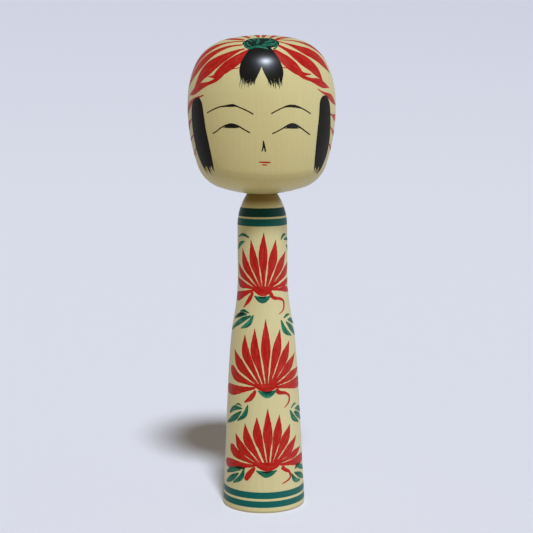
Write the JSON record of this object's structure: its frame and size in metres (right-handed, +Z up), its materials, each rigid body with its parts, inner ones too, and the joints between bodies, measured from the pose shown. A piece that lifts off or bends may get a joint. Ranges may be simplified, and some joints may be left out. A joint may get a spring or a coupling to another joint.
{
  "type": "kokeshi doll",
  "caption": "Turned wooden kokeshi doll with a squarish round head that plugs onto a slim flared body, painted with a calm face, a red crown and stacked chrysanthemums.",
  "frame": {"origin": "middle of the face the doll stands on", "axes": "+Z up along the turning axis of head and body, the painted face looks along -Y, +X to the viewer's right"},
  "size_m": [0.0752, 0.0752, 0.2432],
  "materials": {
    "body_wood": "pale waxed dogwood, turned smooth, brush painted",
    "head_wood": "pale waxed dogwood, turned and polished, brush painted"
  },
  "bodies": {
    "body": {"body": "body_wood"},
    "head": {"head": "head_wood"}
  },
  "joints": [
    {"name": "head_turn", "type": "hinge", "parent": "body", "child": "head", "pos_m": [0, 0, 0.1634], "axis": [0, 0, 1], "continuous": true}
  ]
}
